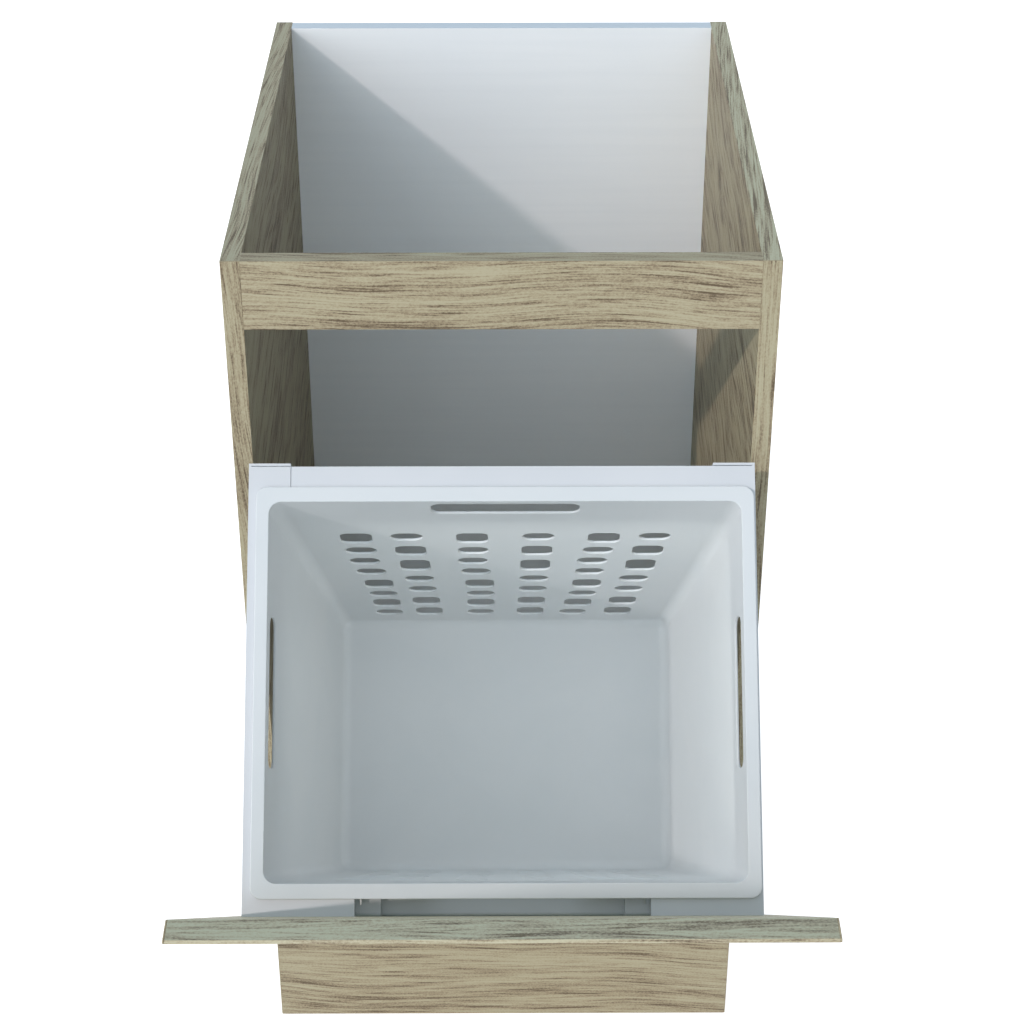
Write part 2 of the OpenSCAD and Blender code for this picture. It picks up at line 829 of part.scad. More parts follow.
module door_edge_bands() {
    color("burlywood") on_door() both_sides()
        translate([door_w / 2 - band_t, 0, 0]) along_x(band_t) door_section();
}

// Right half of the carrier: ledge, web, front flange, plate on the door and back ear
module carrier_half() {
    top = carrier_h - sheet_t;
    translate([half_carrier - sheet_t, 0, 0]) along_x(sheet_t)
        polygon([[0, door_plate_low], [0, carrier_h], [ear_out, carrier_h],
            [ear_out, carrier_h - web_back_h], [web_step, door_plate_low]]);
    translate([half_carrier - ledge_w, 0, top]) cube([ledge_w, carrier_d, sheet_t]);
    translate([flange_in, 0, top]) cube([flange_w, flange_d, sheet_t]);
    translate([flange_in, 0, carrier_h - side_web_h]) cube([sheet_t, flange_d, side_web_h]);
    translate([flange_in, 0, door_plate_low]) cube([flange_w, sheet_t, door_plate_h]);
    translate([half_carrier - tab_w, carrier_d - back_bar_w, top]) cube([tab_w, back_bar_w, sheet_t]);
    translate([half_carrier - tab_w, carrier_d + ear_gap, carrier_h - ear_h]) cube([tab_w, sheet_t, ear_h]);
}

// Rivet places where the back bar laps under the left tab
module at_lap() {
    for (x = [lap_reach / 3, lap_reach])
        translate([-seam_x - x, carrier_d - back_bar_w / 2, carrier_h - 2 * sheet_t]) children();
}

module carrier_frame_left() {
    color("white") on_door() difference() {
        mirror([1, 0, 0]) carrier_half();
        at_carrier_screws() pan_screw_hole(small_len);
        at_lap() cylinder(r = small_shank_r + fixing_clear, h = 2 * sheet_t - lap_play / 4 + fixing_clear);
    }
}

module carrier_frame_right() {
    bar_low = carrier_h - stiffener_h;
    color("white") on_door() difference() {
        union() {
            carrier_half();
            translate([seam_w - seam_x, carrier_d - back_bar_w, carrier_h - sheet_t])
                cube([2 * seam_x - seam_w + cut, back_bar_w, sheet_t]);
            translate([seam_w - seam_x, carrier_d - sheet_t, bar_low])
                cube([2 * seam_x - seam_w + cut, sheet_t, stiffener_h]);
            translate([lap_in - half_carrier, carrier_d - back_bar_w + lap_play, carrier_h - 2 * sheet_t])
                cube([tab_w + lap_reach - lap_in, back_bar_w - 2 * lap_play, sheet_t]);
        }
        at_carrier_screws() pan_screw_hole(small_len);
        at_lap() cylinder(r = small_shank_r + fixing_clear, h = 2 * sheet_t);
    }
}

// Points of a quarter bend of radius r, about the middle of the cross bar's fold
function bend(r, from, to) = [for (i = [0 : bend_steps])
    let (a = from + (to - from) * i / bend_steps) [cross_bend + r * cos(a), r * sin(a) - cross_bend]];

// Section of the cross bar: a plate down the door, folded out into a shelf at z = 0
module cross_fold(plate_h) {
    polygon(concat([[0, -plate_h]], bend(cross_bend, 180, 90), [[flange_d, 0], [flange_d, -cross_t]],
        bend(cross_bend - cross_t, 90, 180), [[cross_t, -plate_h]]));
}

// Folded bar across the door between the two front flanges, with its middle set lower
module carrier_cross_bar() {
    shelf = carrier_h - cross_drop;
    color("white") on_door() difference() {
        union() {
            both_sides() translate([cross_step_x, 0, shelf]) {
                along_x(flange_in - cross_step_x) cross_fold(cross_step + cross_plate_h);
                along_x(cross_t) polygon(concat([[0, -cross_step - 2 * cross_bend]],
                    bend(cross_bend, 180, 90), [[flange_d, 0], [flange_d, -cross_step - cross_t],
                    [2 * cross_bend, -cross_step - cross_t]]));
            }
            translate([-cross_step_x - cut, 0, shelf - cross_step])
                along_x(2 * cross_step_x + 2 * cut) cross_fold(cross_plate_h);
        }
        both_sides() translate([slit_x - slit_w / 2, flange_d - slit_l - 2 * cross_t, shelf - 2 * cross_t])
            cube([slit_w, slit_l, 4 * cross_t]);
        at_cross_screws() pan_screw_hole(small_len);
    }
}

module carrier_rivets() {
    color("silver") on_door() at_lap() {
        cylinder(r = small_shank_r, h = 2 * sheet_t - lap_play / 4);
        translate([0, 0, -small_head_h]) cylinder(r = small_head_r, h = small_head_h);
    }
}

module carrier_screws() {
    color("silver") on_door() {
        at_carrier_screws() pan_screw(small_len);
        at_cross_screws() pan_screw(small_len);
    }
}

// Tapered bowl about the basket's inside, grown by an even thickness
module basket_body(grow, above) {
    low = floor_z + basket_r;
    hull() for (x = [-1, 1]) {
        for (y = [mouth_front + basket_r, mouth_back - basket_r])
            translate([x * (mouth_half - basket_r), y, rim_top - above])
                cylinder(r = basket_r + grow, h = 2 * above, $fn = 32);
        for (y = [mouth_front + front_draw + basket_r, mouth_back - back_draw - basket_r])
            translate([x * (mouth_half - side_draw - basket_r), y, low])
                sphere(r = basket_r + grow, $fn = 32);
    }
}

module rim_outline(inset) {
    translate([0, rim_mid_y]) round_rect(rim_w - 2 * inset, rim_d - 2 * inset, rim_r - inset);
}

// One vent column, cut through the front and back walls
module vent_column(x, rows, bridge) {
    for (i = [0 : len(rows) - 1]) {
        depth = hole_drop + sum_to(rows, i) + i * bridge + rows[i] / 2;
        translate([x * taper(depth) / taper(hole_drop), 0, rim_top - depth]) along_y(carrier_d)
            round_rect(hole_w, rows[i], rows[i] == hole_low ? (hole_low - hole_low_flat) / 2 : hole_r);
    }
}

module laundry_basket() {
    slot_z = rim_top - handle_drop - handle_h / 2;
    lip_low = carrier_h + rim_seat_gap;
    color("white") on_door() translate([basket_shift, 0, 0]) difference() {
        union() {
            basket_body(wall, 0.5);
            translate([0, 0, rim_top - rim_plate_t]) linear_extrude(rim_plate_t) rim_outline(0);
            translate([0, 0, lip_low]) linear_extrude(rim_top - lip_low) difference() {
                rim_outline(0);
                rim_outline(rim_plate_t);
            }
        }
        translate([0, 0, 0.5]) basket_body(0, 1);
        translate([0, 0, slot_z]) along_y(carrier_d) round_rect(handle_w, handle_h, handle_r);
        translate([-unit_w / 2, rim_mid_y, slot_z]) along_x(unit_w)
            round_rect(handle_w, handle_h, handle_r);
        for (i = [0 : len(COLUMN_X) - 1]) {
            if (i % 2 == 0) vent_column(COLUMN_X[i], ROWS_EIGHT, bridge_eight);
            else vent_column(COLUMN_X[i], ROWS_SEVEN, bridge_seven);
        }
    }
}

side_panel_left();
side_panel_right();
side_edge_bands();
bottom_panel();
back_panel();
front_rail();
cabinet_screws();
cabinet_dowels();
leg_sockets();
leg_tubes();
leg_screws();
foot(0);  // foot_front_left
foot(1);  // foot_front_right
foot(2);  // foot_back_left
foot(3);  // foot_back_right
plinth_board();
plinth_edge_bands();
plinth_clips();
clip_screws();
hinge_leaves_cabinet();
hinge_leaves_door();
hinge_pins();
hinge_screws_cabinet();
hinge_screws_door();
stop_pins();
stop_rollers();
stay_plate_left();
stay_plate_right();
stay_screws();
door_panel();
door_edge_bands();
carrier_frame_left();
carrier_frame_right();
carrier_cross_bar();
carrier_rivets();
carrier_screws();
laundry_basket();
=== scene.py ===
"""A laundry basket base unit: oak decor boards, white steel frame, white moulded basket."""
import json
import math

import bmesh
import bpy
from mathutils import Matrix, Vector


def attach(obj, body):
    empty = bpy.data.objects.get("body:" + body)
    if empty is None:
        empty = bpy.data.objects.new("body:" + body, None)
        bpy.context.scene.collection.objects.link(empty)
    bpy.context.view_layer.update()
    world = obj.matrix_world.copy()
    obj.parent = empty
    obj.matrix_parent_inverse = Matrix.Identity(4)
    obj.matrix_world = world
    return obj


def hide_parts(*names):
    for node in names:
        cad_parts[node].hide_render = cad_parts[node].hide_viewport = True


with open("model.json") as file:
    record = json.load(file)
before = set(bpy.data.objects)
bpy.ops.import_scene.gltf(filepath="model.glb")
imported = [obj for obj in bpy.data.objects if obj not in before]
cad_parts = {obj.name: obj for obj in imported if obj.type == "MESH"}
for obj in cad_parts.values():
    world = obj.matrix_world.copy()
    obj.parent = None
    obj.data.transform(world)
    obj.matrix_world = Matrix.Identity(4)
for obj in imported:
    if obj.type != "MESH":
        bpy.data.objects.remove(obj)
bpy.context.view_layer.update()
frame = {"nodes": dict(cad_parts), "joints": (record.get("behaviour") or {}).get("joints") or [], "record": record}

nodes = frame["nodes"]
node_body = {n: body for body, members in frame["record"]["behaviour"]["bodies"].items() for n in members}

# The front leans out by this angle, about the hinge line
TILT = math.radians(48.5)
HINGE = Vector(frame["joints"][0]["pos_m"])


# Shader maths

class Val:
    """One output socket, with the operators that the finishes use."""

    def __init__(self, shading, socket):
        self.shading, self.socket = shading, socket

    def _do(self, operation, *values):
        return self.shading.node("ShaderNodeMath", {"operation": operation}, dict(enumerate(values)))

    def __add__(self, other): return self._do("ADD", self, other)
    def __radd__(self, other): return self._do("ADD", other, self)
    def __sub__(self, other): return self._do("SUBTRACT", self, other)
    def __rsub__(self, other): return self._do("SUBTRACT", other, self)
    def __mul__(self, other): return self._do("MULTIPLY", self, other)
    def __rmul__(self, other): return self._do("MULTIPLY", other, self)
    def __truediv__(self, other): return self._do("DIVIDE", self, other)
    def __abs__(self): return self._do("ABSOLUTE", self)
    def __gt__(self, other): return self._do("GREATER_THAN", self, other)
    def most(self, other): return self._do("MAXIMUM", self, other)

    def step(self, low, high):
        """0 below low and 1 above high, with a smooth rise between."""
        return self.shading.node("ShaderNodeMapRange", {"interpolation_type": "SMOOTHSTEP"},
                                 {"Value": self, "From Min": low, "From Max": high})


class Shading:
    """A node tree being built."""

    def __init__(self, tree):
        self.tree = tree

    def node(self, kind, settings=None, inputs=None, out=0):
        """Adds a node and gives its output: settings are its own values, and inputs are numbers or other outputs."""
        made = self.tree.nodes.new(kind)
        for key, value in (settings or {}).items():
            if key == "stops":
                ramp = made.color_ramp
                while len(ramp.elements) < len(value):
                    ramp.elements.new(0.5)
                for element, (place, colour) in zip(ramp.elements, value):
                    element.position = place
                    element.color = (*colour, 1)
            else:
                setattr(made, key, value)
        for key, value in (inputs or {}).items():
            socket = made.inputs[key]
            if isinstance(value, Val):
                self.tree.links.new(value.socket, socket)
            else:
                socket.default_value = value
        return Val(self, made.outputs[out])

    def noise(self, vector, scale, detail=2.0, roughness=0.5, distortion=0.0):
        return self.node("ShaderNodeTexNoise", {"noise_dimensions": "3D"},
                         {"Vector": vector, "Scale": scale, "Detail": detail, "Roughness": roughness,
                          "Distortion": distortion})

    def place(self):
        """The point on the piece, in metres, which moves with the piece."""
        return self.node("ShaderNodeTexCoord", out="Object")

    def facing(self):
        """The surface's outward direction on the piece."""
        return self.node("ShaderNodeTexCoord", out="Normal")

    def split(self, vector):
        """The three parts of a vector."""
        made = self.tree.nodes.new("ShaderNodeSeparateXYZ")
        self.tree.links.new(vector.socket, made.inputs[0])
        return [Val(self, made.outputs[i]) for i in range(3)]

    def join(self, x, y, z):
        return self.node("ShaderNodeCombineXYZ", None, {0: x, 1: y, 2: z})

    def turned(self, vector, angle):
        """The vector turned about X, so that a leaning board has its own upright frame."""
        return self.node("ShaderNodeVectorRotate", {"rotation_type": "X_AXIS"}, {"Vector": vector, "Angle": angle})

    def moved(self, vector, offset):
        return self.node("ShaderNodeVectorMath", {"operation": "ADD"}, {0: vector, 1: offset})

    def mix(self, share, a, b):
        """Colours a and b, mixed by share."""
        # the node's sockets for colours share their names with others, so they go by number
        factor, first, second, result = 0, 6, 7, 2
        made = self.tree.nodes.new("ShaderNodeMix")
        made.data_type = "RGBA"
        for index, value in ((factor, share), (first, a), (second, b)):
            if isinstance(value, Val):
                self.tree.links.new(value.socket, made.inputs[index])
            else:
                made.inputs[index].default_value = value if index == factor else (*value, 1)
        return Val(self, made.outputs[result])

    def times(self, colour, by):
        """The colour, multiplied channel by channel."""
        return self.node("ShaderNodeVectorMath", {"operation": "MULTIPLY"}, {0: colour, 1: by})

    def ramp(self, value, stops):
        return self.node("ShaderNodeValToRGB", {"stops": stops}, {0: value})

    def direct_view(self):
        """1 where the camera looks straight at it, or through a mirror or glass, and 0 for the light it gives."""
        path = self.tree.nodes.new("ShaderNodeLightPath")
        camera_ray, glossy_ray, transmission_ray = (
            Val(self, path.outputs["Is " + kind + " Ray"]) for kind in ("Camera", "Glossy", "Transmission"))
        return camera_ray.most(glossy_ray).most(transmission_ray)


class Finish(Shading):
    """A material being built."""

    def __init__(self, name):
        self.material = bpy.data.materials.new(name)
        self.material.use_nodes = True
        super().__init__(self.material.node_tree)
        self.shader = self.tree.nodes["Principled BSDF"]

    def set(self, **values):
        """Sets the shader's own sockets: Base_Color=..., Roughness=..."""
        for key, value in values.items():
            socket = self.shader.inputs[key.replace("_", " ")]
            if isinstance(value, Val):
                self.tree.links.new(value.socket, socket)
            elif isinstance(value, tuple):
                socket.default_value = (*value, 1)
            else:
                socket.default_value = value

    def bump(self, height, distance, strength):
        """A relief, with the distance in metres that a height of 1 stands for."""
        relief = self.node("ShaderNodeBump", None, {"Height": height, "Distance": distance, "Strength": strength})
        self.set(Normal=relief)


# Finishes

# How squarely a face has to point up to count as an upper edge, which gets a painted shade, sideways to count as a
# large face, and along the board to count as its end: none of it below the first number, all of it above the second
EDGE_LIMITS, FACE_LIMITS, END_LIMIT = (0.86, 0.97), (0.80, 0.95), 0.7
# The three coordinates with the grain's own direction first
GRAIN_FIRST = {"x": (0, 1, 2), "y": (1, 0, 2), "z": (2, 0, 1)}
# The decor's colours from the lightest fibres to the darkest pores
OAK_SHADES = ((0.06, (0.505, 0.467, 0.318)), (0.28, (0.467, 0.415, 0.276)), (0.48, (0.416, 0.356, 0.235)),
              (0.62, (0.342, 0.283, 0.183)), (0.80, (0.252, 0.202, 0.129)), (0.98, (0.145, 0.110, 0.068)))
# Where the average depth lies on the scale of colours
OAK_MEAN = 0.44
# How much less the grain of a calm face wanders, and how much fainter it is
CALM_WANDER, CALM_CONTRAST = 0.6, 0.45
# Painted shade that makes the inner faces of the side panels darker: the left one, then the right one
INNER_PAINTED_SHADE_LEFT, INNER_PAINTED_SHADE_RIGHT = (0.65, 0.64, 0.61), (0.75, 0.735, 0.69)


def oak(name, along, leaning=False, seed=0.0, ends=None, contrast=1.0, tone=(1.0, 1.0, 1.0), inner=0,
        lean=0.020, wander=0.050, calm=None, upper_painted_shade=(0.70, 0.76, 0.80)):
    """Light oak decor. The grain runs along one axis, and where a face points along ends[0], along ends[1].

    A leaning board is turned back upright first, so that its print follows the board.
    A side panel's inner face points along inner times X, and a painted shade makes it darker.
    The large face that points along calm[1] times the axis calm[0] has straighter and fainter grain.
    The grain leans by lean and wanders by wander; an edge that faces up gets a painted shade, its colour multiplied
    by the last argument.
    """
    m = Finish(name)
    point = m.place()
    facing = m.facing()
    normal = m.split(facing)
    if leaning:
        point = m.turned(m.moved(point, -HINGE), -TILT)
        facing = m.turned(facing, -TILT)
    place, out = m.split(point), m.split(facing)

    def laid_along(axis):
        order = GRAIN_FIRST[axis]
        return [place[i] for i in order] + [abs(out[i]) for i in order[1:]]

    parts = laid_along(along)
    if ends:
        on_end = abs(out["xyz".index(ends[0])]) > END_LIMIT
        parts = [p + (q - p) * on_end for p, q in zip(parts, laid_along(ends[1]))]
    g, a, b, out_a, out_b = parts
    g = g + seed
    # each face has its own print, in which the fibres wander slowly and lean a little
    turned = out_a > out_b
    quiet = (out["xyz".index(calm[0])] * calm[1]).step(*FACE_LIMITS) if calm else 0.0
    drift = m.noise(m.join(g * 3.2, a * 5, b * 5), 1.0, 1.0)
    # the side panels' large faces have bolder streaks
    stretch = 0.4 if inner else 1.0
    across = a + (b * stretch - a) * turned + (drift - 0.5) * ((1.0 - quiet * CALM_WANDER) * wander) + g * lean
    deep = b + (a - b) * turned

    def grain(length, width, detail=1.0):
        """Streaks of about this length and width in metres."""
        return m.noise(m.join(g / length, across / width, deep * 9), 1.0, detail)

    bands = grain(0.80, 0.034, 2.0)
    growth = grain(0.26, 0.0100)
    middle = grain(0.14, 0.0052)
    lines = grain(0.085, 0.0026)
    hairs = grain(0.038, 0.00125)
    speck = m.noise(m.join(g * 480, a * 900, b * 900), 1.0, 2.0, 0.7)
    veins = lines.step(0.56, 0.72) * growth.step(0.40, 0.60)
    pores = hairs.step(0.60, 0.74) * (middle.step(0.40, 0.60) * 0.7 + 0.3)
    depth = (bands - 0.5) * 0.50 + (growth - 0.5) * 0.50 + (middle - 0.5) * 0.65 + (lines - 0.5) * 0.90
    depth = depth * 1.15 + (hairs - 0.5) * 1.45 + (speck - 0.5) * 1.30 + veins * 0.18 + pores * 0.18
    depth = depth * ((1.0 - quiet * CALM_CONTRAST) * contrast)
    shades = [(at, tuple(c * t for c, t in zip(shade, tone))) for at, shade in OAK_SHADES]
    base = m.ramp(OAK_MEAN + depth, shades)
    # painted shade: edges that face up are made greyer, for the cooler and dimmer light from above
    base = m.mix(normal[2].step(*EDGE_LIMITS), base, m.times(base, upper_painted_shade))
    # painted shade: the side panel's inner face is darkened
    if inner:
        shade = INNER_PAINTED_SHADE_LEFT if inner > 0 else INNER_PAINTED_SHADE_RIGHT
        base = m.mix((normal[0] * inner).step(*FACE_LIMITS), base, m.times(base, shade))
    m.set(Base_Color=base, Roughness=0.50 + pores * 0.16 + (speck - 0.5) * 0.10, Specular_IOR_Level=0.32)
    m.bump((speck - 0.5) * 0.3 - pores - veins * 0.6, 0.00010, 0.5)
    return m.material


def white_board(name, upper_painted_shade=(1.0, 1.0, 1.0)):
    """White melamine with the faint lengthwise ripple of its press plate, and a painted shade on its edges that face
    up.
    """
    m = Finish(name)
    x, y, z = m.split(m.place())
    ripple = m.noise(m.join(x * 3.5, y * 3.5, z * 120), 1.0, 3.0, 0.6)
    cloud = m.noise(m.join(x, y, z), 6.0, 3.0)
    base = m.mix(cloud.step(0.3, 0.7), (0.840, 0.868, 0.892), (0.862, 0.885, 0.902))
    base = m.mix(ripple.step(0.35, 0.75) * 0.35, base, (0.800, 0.830, 0.856))
    # painted shade: edges that face up take the tint given, for the light from above
    base = m.mix(m.split(m.facing())[2].step(*EDGE_LIMITS), base, m.times(base, upper_painted_shade))
    m.set(Base_Color=base, Roughness=0.42 + (ripple - 0.5) * 0.10, Specular_IOR_Level=0.4)
    m.bump(ripple, 0.00006, 0.5)
    return m.material


def powder_coat(name):
    """Cool white powder coat on steel, with its fine orange peel."""
    m = Finish(name)
    point = m.place()
    peel = m.noise(point, 900.0, 2.0, 0.5)
    broad = m.noise(point, 14.0, 3.0)
    base = m.mix(broad.step(0.3, 0.7), (0.608, 0.642, 0.670), (0.630, 0.661, 0.686))
    m.set(Base_Color=base, Roughness=0.36 + (peel - 0.5) * 0.12, Specular_IOR_Level=0.5)
    m.bump(peel, 0.00005, 0.5)
    return m.material


def moulded_white(name):
    """Satin white moulded plastic: a fine spark texture, slightly cloudy."""
    m = Finish(name)
    point = m.place()
    spark = m.noise(point, 1500.0, 2.0, 0.6)
    flow = m.noise(point, 9.0, 4.0, 0.55, 0.6)
    base = m.mix(flow.step(0.3, 0.72), (0.698, 0.722, 0.735), (0.727, 0.745, 0.755))
    m.set(Base_Color=base, Roughness=0.40 + (spark - 0.5) * 0.16, Specular_IOR_Level=0.45)
    m.bump(spark, 0.00004, 0.5)
    return m.material


def zinc(name):
    """Bright zinc plating with a fine rolled line and faint passivation tints."""
    m = Finish(name)
    x, y, z = m.split(m.place())
    rolled = m.noise(m.join(x * 260, y * 2600, z * 2600), 1.0, 2.0)
    tint = m.noise(m.join(x, y, z), 60.0, 3.0)
    base = m.mix(tint.step(0.3, 0.7), (0.60, 0.62, 0.64), (0.68, 0.66, 0.60))
    m.set(Base_Color=base, Metallic=1.0, Roughness=0.30 + (rolled - 0.5) * 0.22)
    m.bump(rolled, 0.00003, 0.6)
    return m.material


def black_plastic(name):
    """Black moulded plastic with an eroded mould texture, a little greyed on the proud grains."""
    m = Finish(name)
    point = m.place()
    grain = m.noise(point, 1100.0, 3.0, 0.6)
    dust = m.noise(point, 35.0, 4.0)
    greyed = grain.step(0.4, 0.8) * 0.5 + dust.step(0.5, 0.8) * 0.3
    base = m.mix(greyed, (0.012, 0.012, 0.013), (0.040, 0.040, 0.042))
    m.set(Base_Color=base, Roughness=0.52 + (grain - 0.5) * 0.2)
    m.bump(grain, 0.00008, 0.7)
    return m.material


def beech(name):
    """Beech dowel, fluted and with short dark flecks."""
    m = Finish(name)
    x, y, z = m.split(m.place())
    fleck = m.noise(m.join(x * 260, y * 1500, z * 1500), 1.0, 2.0).step(0.56, 0.7)
    base = m.mix(fleck * 0.6, (0.56, 0.38, 0.22), (0.30, 0.17, 0.09))
    m.set(Base_Color=base, Roughness=0.7)
    m.bump(fleck, 0.0001, 0.4)
    return m.material


def nylon(name):
    """Natural nylon, smooth and a little waxy."""
    m = Finish(name)
    haze = m.noise(m.place(), 400.0, 2.0)
    m.set(Base_Color=m.mix(haze.step(0.3, 0.7), (0.66, 0.64, 0.56), (0.72, 0.70, 0.63)),
          Roughness=0.35 + (haze - 0.5) * 0.1)
    m.bump(haze, 0.00003, 0.4)
    return m.material


# Pieces made from the solids, with their edges eased as the real ones are

MERGE_DISTANCE = 1e-6
# Faces that turn less than the first angle are one, edges above the second are rounded, above the third sharp
FLAT_ANGLE, BEVEL_ANGLE, SHARP_ANGLE = math.radians(0.6), math.radians(35.0), math.radians(38)
BEVEL_SEGMENTS = 2
FLAT_FACE_WEIGHT = 80
# The plinth's front stands further forward than the solid's, and the tilting front is wider on each side
PLINTH_PUSH, FRONT_PUSH = 0.004, 0.0005
# Points of the edge bands further out than this belong to the outer sides of the tilting front
FRONT_SIDE = 0.2235


def bake_modifiers(piece):
    """Makes the modifiers' result the piece's own mesh."""
    bpy.context.view_layer.update()
    evaluated = piece.evaluated_get(bpy.context.evaluated_depsgraph_get())
    mesh = bpy.data.meshes.new_from_object(evaluated)
    piece.modifiers.clear()
    piece.data = mesh


def eased(node, width, mesh=None):
    """A piece with its sharp edges rounded by width, which stands in for a solid: a copy of it, or the given mesh."""
    mesh = mesh or nodes[node].data.copy()
    piece = bpy.data.objects.new(node + "_eased", mesh)
    bpy.context.scene.collection.objects.link(piece)
    form = bmesh.new()
    form.from_mesh(mesh)
    bmesh.ops.remove_doubles(form, verts=form.verts, dist=MERGE_DISTANCE)
    bmesh.ops.dissolve_limit(form, angle_limit=FLAT_ANGLE, verts=form.verts, edges=form.edges)
    push_faces(form, node)
    form.to_mesh(mesh)
    form.free()
    if "custom_normal" in mesh.attributes:
        mesh.attributes.remove(mesh.attributes["custom_normal"])
    bevel = piece.modifiers.new("ease", "BEVEL")
    bevel.width = width
    bevel.segments = BEVEL_SEGMENTS
    bevel.limit_method = "ANGLE"
    bevel.angle_limit = BEVEL_ANGLE
    # the basket's small holes would hold its rounding back everywhere
    bevel.use_clamp_overlap = node != "laundry_basket"
    bake_modifiers(piece)
    piece.data.shade_smooth()
    piece.data.set_sharp_from_angle(angle=SHARP_ANGLE)
    weigh = piece.modifiers.new("flat_faces", "WEIGHTED_NORMAL")
    weigh.keep_sharp = True
    weigh.weight = FLAT_FACE_WEIGHT
    bake_modifiers(piece)
    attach(piece, node_body[node])
    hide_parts(node)
    return piece


def push_faces(form, node):
    """Moves the front of the plinth and the outer sides of the tilting front out, from where the solids have them."""
    if node in ("plinth_board", "plinth_edge_bands"):
        middle = sum(v.co.y for v in form.verts) / len(form.verts)
        for v in form.verts:
            v.co.y -= PLINTH_PUSH if v.co.y < middle else 0.0
    if node == "door_edge_bands":
        for v in form.verts:
            v.co.x += math.copysign(FRONT_PUSH, v.co.x) if abs(v.co.x) > FRONT_SIDE else 0.0


def rounded(width, height, r, steps=6):
    """The outline of a rectangle with round corners, centred."""
    points = []
    for k, (sx, sy) in enumerate(((1, 1), (-1, 1), (-1, -1), (1, -1))):
        for i in range(steps + 1):
            turn = math.radians(90) * (k + i / steps)
            points.append((sx * (width / 2 - r) + r * math.cos(turn), sy * (height / 2 - r) + r * math.sin(turn)))
    return points


def add_bar(form, ring, push):
    """Adds a closed bar: a ring of points, and the same ring pushed along a vector."""
    near = [form.verts.new(p) for p in ring]
    far = [form.verts.new(Vector(p) + Vector(push)) for p in ring]
    faces = [form.faces.new(near), form.faces.new(far[::-1])]
    for i in range(len(ring)):
        faces.append(form.faces.new((near[i - 1], far[i - 1], far[i], near[i])))
    bmesh.ops.recalc_face_normals(form, faces=faces)


def as_piece(form, name):
    """An object made from a form."""
    mesh = bpy.data.meshes.new(name)
    form.to_mesh(mesh)
    form.free()
    piece = bpy.data.objects.new(name, mesh)
    bpy.context.scene.collection.objects.link(piece)
    return piece


def carve(piece, operation, other):
    """Joins another form to the piece or takes it out, and drops that form."""
    change = piece.modifiers.new("carve", "BOOLEAN")
    change.operation = operation
    change.solver = "EXACT"
    change.object = other
    bake_modifiers(piece)
    bpy.data.objects.remove(other)


# The basket in millimetres, in the frame of the leaning front: X across, Y inwards, Z up the front

BASKET = {
    # the inside at the top: its middle lies to the right, half its width, and its front and back walls
    "shift": 2.6, "half": 191.5, "front": 25.7, "back": 331.3,
    "top": 391.0, "depth": 348.0, "corner": 10.0, "wall": 2.2,
    # how far each wall leans in towards the floor
    "side_draw": 36.5, "front_draw": 14.5, "back_draw": 53.5,
    # the rim: its width, its length and the radius of its corners, its middle, its lower edge and its thickness
    "rim": (404.0, 330.0, 9.0), "middle": 178.5, "rim_low": 387.2, "rim_wall": 2.0,
}
# The three heights of the vent holes
LOW, MID, TALL = 19.0, 26.5, 32.0
# The holes' width, the depth of their first row and the share by which the lowest row is smaller
HOLE_WIDTH, FIRST_HOLE, SHRINK = 27.0, 83.0, 0.09
# The corners of the higher holes; the low ones end in half circles, but for a flat of this height
HOLE_CORNER, HOLE_FLAT, HOLE_STEPS = 7.0, 1, 7
# The handle slots: width, height and corner, and their depth below the top in the long and in the side walls
SLOT, SLOT_DEPTH, SIDE_SLOT_DEPTH = (122, 24, 9), 19, 24
# Where the cutting bars begin, and how long they are, to go through the front and back walls or the side walls
CUT_START, CUT_LENGTH = 5, 350
SIDE_CUT_START, SIDE_CUT_LENGTH = -220, 440
# How far one form reaches past another one's face before a cut, and how near to each other points are merged
OVERLAP, POCKET_OVERLAP, MERGE_NEAR = 0.5, 1, 0.05
# The steps around the corner circles, and down the round foot of each corner in degrees
CIRCLE_STEPS, DIPS = 32, (0, 18, 36, 54, 72, 90)
MILLIMETRE = 0.001
# X at the top and at the lowest hole of each column
COLUMNS = ((-126.9, -109.1), (-83.9, -71.6), (-28.2, -23.3), (28.2, 23.3), (83.9, 63.3), (126.9, 105.6))
# Hole heights, the bridges between them and how far each hole strays to the right
EIGHT = ((MID, LOW, LOW, LOW, MID, LOW, MID, LOW), (11.2, 11.3, 12.2, 15.2, 9.5, 8.0, 9.5),
         (0.0, -0.4, -1.7, -0.1, 2.0, 2.0, 1.3, 0.0))
SEVEN = ((LOW, MID, TALL, LOW, LOW, MID, MID), (15.5, 13.0, 15.5, 13.7, 16.4, 9.1), (0.0,) * 7)


def basket_form(grow, top):
    """The tapering body, grown by a wall and cut off at a height."""
    b, form = BASKET, bmesh.new()
    r = b["corner"] + grow
    low = b["top"] - b["depth"] + b["corner"]
    turns = [math.radians(360 / CIRCLE_STEPS * i) for i in range(CIRCLE_STEPS)]
    for sx in (-1, 1):
        x = b["shift"] + sx * (b["half"] - b["corner"])
        for y in (b["front"] + b["corner"], b["back"] - b["corner"]):
            for t in turns:
                form.verts.new((x + r * math.cos(t), y + r * math.sin(t), top))
        x -= sx * b["side_draw"]
        for y in (b["front"] + b["front_draw"] + b["corner"], b["back"] - b["back_draw"] - b["corner"]):
            for dip in DIPS:
                flat, down = r * math.cos(math.radians(dip)), r * math.sin(math.radians(dip))
                for t in turns if dip < 90 else (0.0,):
                    form.verts.new((x + flat * math.cos(t), y + flat * math.sin(t), low - down))
    made = bmesh.ops.convex_hull(form, input=form.verts)
    spare = {e for key in ("geom_interior", "geom_unused") for e in made[key] if isinstance(e, bmesh.types.BMVert)}
    bmesh.ops.delete(form, geom=list(spare), context="VERTS")
    bmesh.ops.recalc_face_normals(form, faces=form.faces)
    return form


